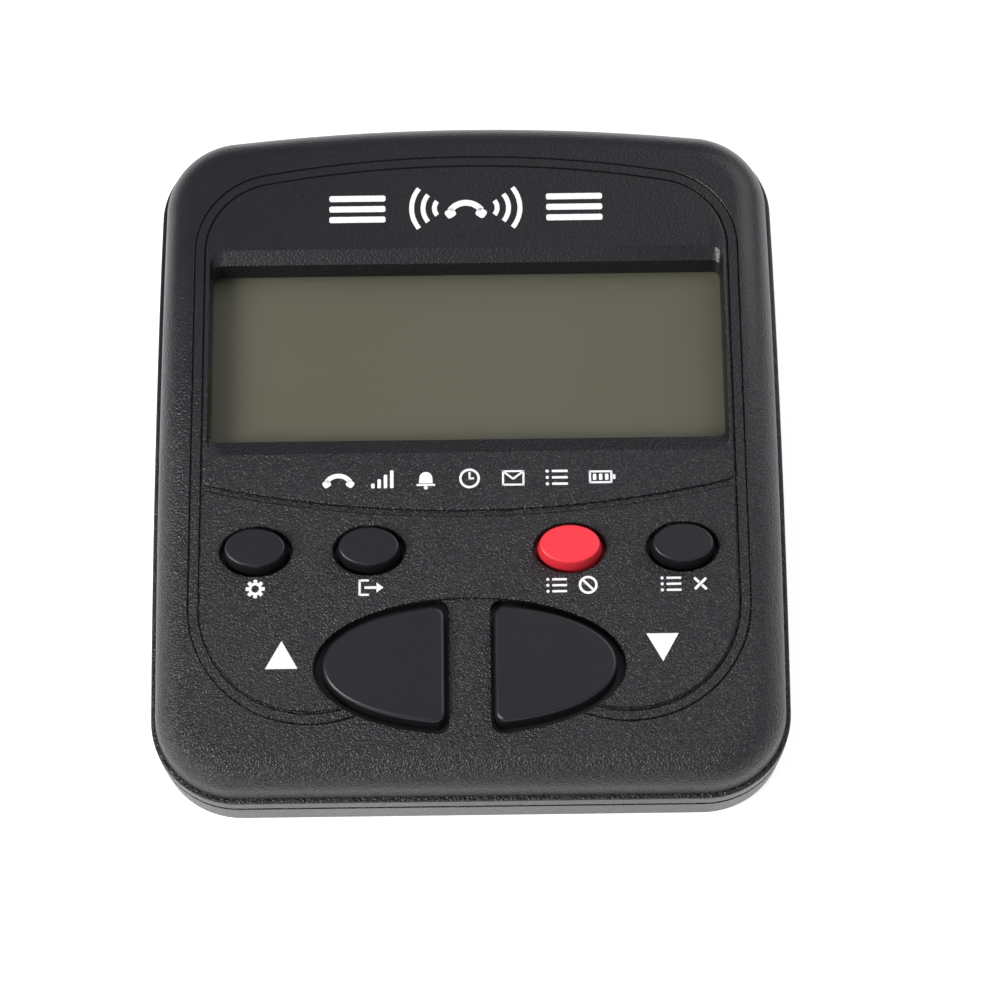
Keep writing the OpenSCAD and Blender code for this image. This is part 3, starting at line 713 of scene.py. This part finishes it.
def groove(points, width, depth):
    """A cutter that runs along a line on the face: a V with rounded lips."""
    profile_data = bpy.data.curves.new("profile", "CURVE")
    profile_data.dimensions = "2D"
    half = width / 2
    shape = [(-half - 0.12, 0.06), (-half - 0.06, -0.01), (-half, -0.04), (-half + 0.04, -0.1), (0, -depth)]
    shape += [(-x, y) for x, y in reversed(shape[:-1])]
    spline = profile_data.splines.new("POLY")
    spline.points.add(len(shape) - 1)
    for point, (x, y) in zip(spline.points, shape):
        point.co = (x, y, 0, 1)
    spline.use_cyclic_u = True
    profile = bpy.data.objects.new("profile", profile_data)
    path_data = bpy.data.curves.new("path", "CURVE")
    path_data.dimensions = "3D"
    path_data.twist_mode = "Z_UP"
    path_data.bevel_mode = "OBJECT"
    path_data.bevel_object = profile
    path_data.use_fill_caps = True
    spline = path_data.splines.new("POLY")
    spline.points.add(len(points) - 1)
    for point, (x, y) in zip(spline.points, points):
        point.co = (x, y, 0, 1)
    path = bpy.data.objects.new("path", path_data)
    bpy.context.scene.collection.objects.link(profile)
    bpy.context.scene.collection.objects.link(path)
    mesh = bpy.data.meshes.new_from_object(path.evaluated_get(bpy.context.evaluated_depsgraph_get()))
    for used in (path, profile):
        bpy.data.objects.remove(used)
    bm = bmesh.new()
    bm.from_mesh(mesh)
    bpy.data.meshes.remove(mesh)
    bmesh.ops.remove_doubles(bm, verts=bm.verts, dist=1e-4)
    bmesh.ops.recalc_face_normals(bm, faces=bm.faces)
    bm.transform(on_face)
    return bm


line_right = panel_line(0)
line_points = line_right + [(-x, y) for x, y in reversed(line_right[:-1])]
worked(upper_case, "DIFFERENCE", made("groove", groove(line_points, 0.22, 0.26)))
foot_right = [p for p in panel_line(panel_strip - 0.24) if p[0] > 17]
foot_right += [(x, panel_top - x * x / (2 * panel_top_r) - panel_strip + 0.24) for x in range(16, -1, -2)]
foot_points = foot_right + [(-x, y) for x, y in reversed(foot_right[:-1])]
worked(upper_case, "DIFFERENCE", made("groove", groove(foot_points, 0.18, 0.2)))
finished(upper_case, case_plastic, "root", "black_abs", "upper_case")


# ---------------------------------------------------------------------------------------------
# Printed marks: white pad print on the two panels, in plain signs. A handset between sound waves at
# the top, a row of service signs under the display, a sign below each key and two arrow heads.

ink_top = panel_h + 0.02
ink_t = 0.03


def printed(points):
    """A thin flat shape of ink on the panels, from its outline."""
    return loft(on_slope(points, ink_top - ink_t, on_face), on_slope(points, ink_top, on_face))


def turned(points, cx, cy, degrees_left):
    """Points drawn about the origin, turned and put in place."""
    a = radians(degrees_left)
    return [(cx + x * cos(a) - y * sin(a), cy + x * sin(a) + y * cos(a)) for x, y in points]


def scaled(shapes, size):
    """Shapes drawn about the origin, at a size."""
    return [[(size * x, size * y) for x, y in shape] for shape in shapes]


def bar(w, h, cx=0.0, cy=0.0):
    """Outline of a bar with slightly rounded corners."""
    return rounded_box(w / 2, h / 2, min(w, h) * 0.3, cx, cy, 3)


def band(cx, cy, r, start, end, width, steps=20):
    """Outline of a curved stroke."""
    return arc(cx, cy, r + width / 2, start, end, steps) + arc(cx, cy, r - width / 2, end, start, steps)


def disc(cx, cy, r):
    return oval(cx, cy, r, r, 28)


def ring_mark(cx, cy, r, width):
    """A ring, in two halves that meet."""
    return [band(cx, cy, r, 0, 180, width), band(cx, cy, r, 180, 360, width)]


def handset(size):
    """A telephone handset: a bowed grip with an ear piece and a mouth piece."""
    grip = band(0, -1.75, 2.5, 35, 145, 0.85)
    ends = [turned(bar(1.35, 1.25), side * 2.05, -0.75, side * -35) for side in (-1, 1)]
    return scaled([grip, *ends], size)


def signal(size):
    """Four bars that grow taller."""
    tall = [0.6 + 0.55 * i for i in range(4)]
    return scaled([bar(0.42, h, 0.75 * i - 1.1, h / 2 - 1.1) for i, h in enumerate(tall)], size)


def clock(size):
    """A ring with two hands."""
    hands = [bar(0.24, 0.85, 0, 0.35), bar(0.62, 0.24, 0.22, 0)]
    return scaled(ring_mark(0, 0, 1.05, 0.28) + hands, size)


def envelope(size):
    """A frame with a flap."""
    sides = [bar(2.9, 0.26, 0, y) for y in (0.92, -0.92)] + [bar(0.26, 2.1, x, 0) for x in (-1.32, 1.32)]
    flap = [turned(bar(1.75, 0.26), side * 0.65, 0.38, side * 38) for side in (-1, 1)]
    return scaled(sides + flap, size)


def battery_sign(size):
    """A cell with its cap and three cells of charge."""
    sides = [bar(2.7, 0.25, 0, y) for y in (0.68, -0.68)] + [bar(0.25, 1.6, x, 0) for x in (-1.27, 1.27)]
    charge = [bar(0.42, 0.8, x, 0) for x in (-0.72, 0, 0.72)]
    return scaled(sides + charge + [bar(0.3, 0.6, 1.6, 0)], size)


def bell(size):
    """A dome over a rim, with its clapper."""
    dome = arc(0, 0.1, 0.78, 0, 180, 14) + [(-0.82, -0.55), (0.82, -0.55)]
    return scaled([dome, bar(2.2, 0.25, 0, -0.75), disc(0, -1.1, 0.24)], size)


def listing(size):
    """Three lines with their bullets."""
    lines = [bar(1.9, 0.3, 0.35, y) for y in (-0.8, 0, 0.8)]
    return scaled(lines + [disc(-1.15, y, 0.2) for y in (-0.8, 0, 0.8)], size)


def cog(size):
    """A toothed ring."""
    teeth = [turned(bar(0.5, 0.42, 0, 1.02), 0, 0, 45 * i) for i in range(8)]
    return scaled(ring_mark(0, 0, 0.68, 0.38) + teeth, size)


def leaving(size):
    """An arrow that leaves an open frame."""
    frame_bars = [bar(0.28, 2.2, -1.3, 0), bar(1.3, 0.28, -0.75, 0.96), bar(1.3, 0.28, -0.75, -0.96)]
    arrow = [bar(1.7, 0.34, 0.15, 0), [(1.75, 0), (0.85, 0.68), (0.85, -0.68)]]
    return scaled(frame_bars + arrow, size)


def barred(size):
    """A ring with a slanting bar."""
    return scaled(ring_mark(0, 0, 1.05, 0.32) + [turned(bar(1.8, 0.32), 0, 0, -45)], size)


def crossed(size):
    """Two bars that cross."""
    halves = [turned(bar(0.86, 0.36), x, -x, -45) for x in (-0.48, 0.48)]
    return scaled([turned(bar(2.1, 0.36), 0, 0, 45)] + halves, size)


def moved(shapes, cx, cy):
    return [[(cx + x, cy + y) for x, y in shape] for shape in shapes]


head_y = 37.6
waves = [band(side * 2.9, head_y, 1.9 + 1.75 * i, turn - 38, turn + 38, 0.75)
         for i in range(3) for side, turn in ((1, 0), (-1, 180))]
rules = [bar(8.6, 1.0, side * 16.6, head_y + y) for side in (-1, 1) for y in (-1.75, 0.0, 1.75)]
marks = moved(handset(1.15), 0, head_y) + waves + rules

row_y = -6.3
row = (handset, signal, bell, clock, envelope, listing, battery_sign)
sizes = (0.85, 1.25, 1.25, 1.3, 1.15, 1.25, 1.25)
for number, (sign, size) in enumerate(zip(row, sizes)):
    marks += moved(sign(size), 0.2 + (number - 3) * 6.5, row_y)

label_y = -23.1
marks += moved(cog(1.15), -31.45, label_y) + moved(leaving(1.15), -14.6, label_y)
marks += moved(listing(1.15), 12.9, label_y) + moved(barred(1.15), 17.5, label_y)
marks += moved(listing(1.15), 29.7, label_y) + moved(crossed(1.15), 34.0, label_y)
arrow_w = 4.75
arrow_h = 4.25
for x, y, way in ((-27.5, -35.35, 1), (28.2, -30.65, -1)):
    marks.append([(x - way * arrow_w / 2, y), (x + way * arrow_w / 2, y), (x, y + way * arrow_h)])

white_ink = moulded("white_ink", (0.86, 0.86, 0.86), (0.9, 0.9, 0.9), 0.5, 0.0002, 0.000004)
print_marks = together(*[printed(shape) for shape in marks])
print_marks.name = "printed_marks"
print_marks.data.transform(Matrix.Scale(mm, 4))
print_marks.data.materials.append(white_ink)
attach(print_marks, "root")


# ---------------------------------------------------------------------------------------------
# Battery pack: three AAA cells in printed sleeves between nickel-plated springs and plates, with
# one red and one black lead to the main board.

def metal(name, colour, rough, streak):
    """Plated metal with fine drawn streaks."""
    material = bpy.data.materials.new(name)
    tree, shader, add = nodes_of(material)
    place = add("ShaderNodeTexCoord").outputs["Object"]
    stretch = add("ShaderNodeMapping")
    stretch.inputs["Scale"].default_value = streak
    tree.links.new(place, stretch.inputs["Vector"])
    lines = add("ShaderNodeTexNoise", Scale=900.0, Detail=3.0)
    tree.links.new(stretch.outputs["Vector"], lines.inputs["Vector"])
    roughness = mixed_range(tree, add, lines.outputs["Fac"], rough - 0.08, rough + 0.08)
    tree.links.new(roughness, shader.inputs["Roughness"])
    tint = shades(tree, add, lines.outputs["Fac"], [c * 0.9 for c in colour], colour)
    tree.links.new(tint, shader.inputs["Base Color"])
    shader.inputs["Metallic"].default_value = 1.0
    bump = add("ShaderNodeBump", Strength=0.6, Distance=0.000004)
    tree.links.new(lines.outputs["Fac"], bump.inputs["Height"])
    tree.links.new(bump.outputs["Normal"], shader.inputs["Normal"])
    return material


def cell_sleeve(name, low_end, high_end, capped):
    """A cell's finish along its length: a bare steel end, a dark sleeve and a copper band at the cap."""
    material = bpy.data.materials.new(name)
    tree, shader, add = nodes_of(material)
    place = add("ShaderNodeTexCoord").outputs["Object"]
    split = add("ShaderNodeSeparateXYZ")
    tree.links.new(place, split.inputs[0])
    along = add("ShaderNodeMapRange")
    along.inputs["From Min"].default_value = low_end if capped > 0 else high_end
    along.inputs["From Max"].default_value = high_end if capped > 0 else low_end
    tree.links.new(split.outputs["X"], along.inputs["Value"])
    bands = add("ShaderNodeValToRGB")
    bands.color_ramp.interpolation = "CONSTANT"
    steel, sleeve, copper = (0.55, 0.54, 0.52), (0.012, 0.012, 0.014), (0.42, 0.19, 0.07)
    stops = [(0.0, steel), (0.02, sleeve), (0.72, copper), (0.965, steel)]
    for position, colour in stops[1:]:
        bands.color_ramp.elements.new(position)
    in_order = sorted(bands.color_ramp.elements, key=lambda e: e.position)
    for element, (position, colour) in zip(in_order, stops + [stops[-1]]):
        element.color = (*colour, 1)
    tree.links.new(along.outputs["Result"], bands.inputs["Fac"])
    scuffs = add("ShaderNodeTexNoise", Scale=420.0, Detail=4.0)
    tree.links.new(place, scuffs.inputs["Vector"])
    tree.links.new(bands.outputs["Color"], shader.inputs["Base Color"])
    tree.links.new(mixed_range(tree, add, scuffs.outputs["Fac"], 0.22, 0.34), shader.inputs["Roughness"])
    shader.inputs["Metallic"].default_value = 0.6
    return material


nickel = metal("nickel_plate", (0.62, 0.61, 0.58), 0.3, (1.0, 0.1, 1.0))
for number in range(1, 4):
    low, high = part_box(f"battery_{number}")
    sleeve = cell_sleeve(f"cell_sleeve_{number}", low.x, high.x, 1 if number % 2 else -1)
    plain_slot(f"battery_{number}", sleeve)
for node in ("battery_springs", "battery_plates", "crystal"):
    plain_slot(node, nickel)
red_pvc = moulded("red_pvc", (0.36, 0.012, 0.012), (0.42, 0.016, 0.016), 0.35, 0.0006, 0.00001)
plain_slot("battery_lead_red", red_pvc)
black_pvc = moulded("black_pvc", (0.012, 0.012, 0.012), (0.018, 0.018, 0.018), 0.35, 0.0006, 0.00001)
plain_slot("battery_lead_black", black_pvc)


# ---------------------------------------------------------------------------------------------
# Circuit boards: green solder mask over copper tracks. The line board carries the two modular
# sockets, a relay, a transformer and capacitors, and the main board carries two chips and a crystal.

def solder_mask():
    """Green lacquer that shows the tracks below it as paler lines."""
    material = bpy.data.materials.new("solder_mask")
    tree, shader, add = nodes_of(material)
    place = add("ShaderNodeTexCoord").outputs["Object"]
    tracks = add("ShaderNodeTexBrick", Scale=420.0)
    tracks.inputs["Color1"].default_value = (0.010, 0.075, 0.028, 1)
    tracks.inputs["Color2"].default_value = (0.012, 0.085, 0.032, 1)
    tracks.inputs["Mortar"].default_value = (0.022, 0.15, 0.06, 1)
    tracks.inputs["Mortar Size"].default_value = 0.06
    tree.links.new(place, tracks.inputs["Vector"])
    tree.links.new(tracks.outputs["Color"], shader.inputs["Base Color"])
    bump = add("ShaderNodeBump", Strength=0.5, Distance=0.00002)
    tree.links.new(tracks.outputs["Fac"], bump.inputs["Height"])
    tree.links.new(bump.outputs["Normal"], shader.inputs["Normal"])
    dust = add("ShaderNodeTexNoise", Scale=500.0, Detail=2.0)
    tree.links.new(place, dust.inputs["Vector"])
    tree.links.new(mixed_range(tree, add, dust.outputs["Fac"], 0.25, 0.36), shader.inputs["Roughness"])
    return material


green_mask = solder_mask()
chip_epoxy = moulded("chip_epoxy", (0.012, 0.012, 0.013), (0.02, 0.02, 0.022), 0.55, 0.00012, 0.00001)
socket_plastic = moulded("socket_plastic", (0.008, 0.008, 0.009), (0.012, 0.012, 0.013),
                         0.42, 0.0003, 0.00002)
for node in ("line_board", "main_board"):
    plain_slot(node, green_mask)
for node in ("controller_chip", "caller_chip", "chip_resistors"):
    plain_slot(node, chip_epoxy)
for node in ("line_jack", "phone_jack"):
    plain_slot(node, socket_plastic)
gold = metal("gold_wire", (0.85, 0.6, 0.2), 0.22, (1.0, 0.1, 1.0))
for node in ("line_contacts", "phone_contacts"):
    plain_slot(node, gold)
for node, finish, dark, light, rough, grain, depth in (
    ("line_relay", "relay_case", (0.62, 0.6, 0.53), (0.68, 0.66, 0.59), 0.4, 0.0004, 0.00001),
    ("line_transformer", "ferrite", (0.02, 0.02, 0.021), (0.045, 0.043, 0.04), 0.6, 0.0003, 0.00004),
    ("filter_capacitors", "capacitor_sleeve", (0.012, 0.018, 0.085), (0.016, 0.024, 0.1),
     0.3, 0.0008, 0.00001),
    ("board_ribbon", "ribbon_grey", (0.2, 0.2, 0.21), (0.26, 0.26, 0.27), 0.45, 0.0007, 0.00003),
    ("display_ribbon", "contact_film", (0.42, 0.24, 0.03), (0.5, 0.3, 0.04), 0.3, 0.0009, 0.00001),
):
    plain_slot(node, moulded(finish, dark, light, rough, grain, depth))


# ---------------------------------------------------------------------------------------------
# Key mat: a grey silicone sheet on the main board, with a dome and a carbon pill under each key.

silicone = moulded("silicone_rubber", (0.34, 0.34, 0.33), (0.4, 0.4, 0.385), 0.62, 0.0005, 0.00002)
plain_slot("keypad_mat", silicone)
for name in ("set", "out", "block", "remove", "up", "down"):
    plain_slot(f"{name}_dome", silicone)


# ---------------------------------------------------------------------------------------------
# Screws: small steel screws for the board and the display frame, and four cross-head screws that
# pull the two halves together from below.

for node in ("board_screws", "frame_screws"):
    plain_slot(node, nickel)
screw_seat = -15.5
screws = together(*[rounded(bm, at_height(bm, screw_seat - 2, on_face), 0.5, 4) for bm in (
    post(x, y, 2.6, screw_seat - 2, screw_seat, on_face) for x, y in posts)])
shanks = [post(x, y, 1.2, screw_seat - 0.5, screw_seat + 10, on_face) for x, y in posts]
worked(screws, "UNION", together(*shanks))
cross = [(0.35, 1.4), (0.35, 0.35), (1.4, 0.35), (1.4, -0.35), (0.35, -0.35), (0.35, -1.4)]
cross += [(-x, -y) for x, y in cross]
worked(screws, "DIFFERENCE", together(*[
    loft(on_slope([(x + u, y + v) for u, v in cross], screw_seat - 3, on_face),
         on_slope([(x + u * 0.6, y + v * 0.6) for u, v in cross], screw_seat - 0.9, on_face))
    for x, y in posts
]))
finished(screws, nickel, "root", "nickel_steel", "case_screws").name = "case_screws_steel"


# ---------------------------------------------------------------------------------------------
# Studio: a plain white table under soft light from both sides, seen from above and in front.

ground_paint = bpy.data.materials.new("ground_paint")
tree, shader, add = nodes_of(ground_paint)
cloud = add("ShaderNodeTexNoise", Scale=3.0)
tree.links.new(mixed_range(tree, add, cloud.outputs["Fac"], 0.6, 0.64), shader.inputs["Roughness"])
shader.inputs["Base Color"].default_value = (0.9, 0.9, 0.905, 1)
shader.inputs["Emission Color"].default_value = (1.0, 0.995, 1.0, 1)
shader.inputs["Emission Strength"].default_value = 0.58
ground = bmesh.new()
bmesh.ops.create_grid(ground, x_segments=4, y_segments=4, size=2000)
floor = made("floor", ground)
floor.data.transform(Matrix.Scale(mm, 4))
floor.data.materials.append(ground_paint)
floor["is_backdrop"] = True

world = bpy.data.worlds.new("studio")
world.use_nodes = True
world.node_tree.nodes["Background"].inputs["Color"].default_value = (1.0, 0.97, 1.1, 1)
world.node_tree.nodes["Background"].inputs["Strength"].default_value = 0.35
bpy.context.scene.world = world


def softbox(name, direction, distance, size, power):
    """A soft light that shines at the object from a direction."""
    lamp = bpy.data.lights.new(name, "AREA")
    lamp.shape = "RECTANGLE"
    lamp.size, lamp.size_y = size
    lamp.energy = power
    light = bpy.data.objects.new(name, lamp)
    place = Vector(direction).normalized() * distance
    light.matrix_world = Matrix.Translation(place) @ place.to_track_quat("Z", "Y").to_matrix().to_4x4()
    bpy.context.scene.collection.objects.link(light)


softbox("left_softbox", (-0.66, -0.4, 0.66), 1.0, (0.45, 0.5), 9.8)
softbox("right_softbox", (0.62, 0.4, 0.72), 1.2, (1.0, 1.0), 5.5)

# The camera looks at a point on the face from a distance, at an angle above the face.
aim = Vector((4.764, -9.657, 0))
distance = 470.548
elevation = radians(71.116)
azimuth = radians(0.157)
roll = radians(-0.875)
back = Vector((sin(azimuth) * cos(elevation), -cos(azimuth) * cos(elevation), sin(elevation)))
across = (-back).cross(Vector((0, 0, 1))).normalized()
upward = across.cross(-back)
turned_across = across * cos(roll) + upward * sin(roll)
turned_up = upward * cos(roll) - across * sin(roll)
turn = Matrix((turned_across, turned_up, back)).transposed().to_4x4()
lens = bpy.data.cameras.new("camera")
lens.sensor_width = 36.0
lens.lens = 113.96
lens.clip_start = 0.01
camera = bpy.data.objects.new("camera", lens)
camera.matrix_world = Matrix.Translation(on_face @ (aim + back * distance) * mm) @ tilt @ turn
bpy.context.scene.collection.objects.link(camera)
bpy.context.scene.camera = camera
bpy.context.scene.view_settings.view_transform = "Standard"

low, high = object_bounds()
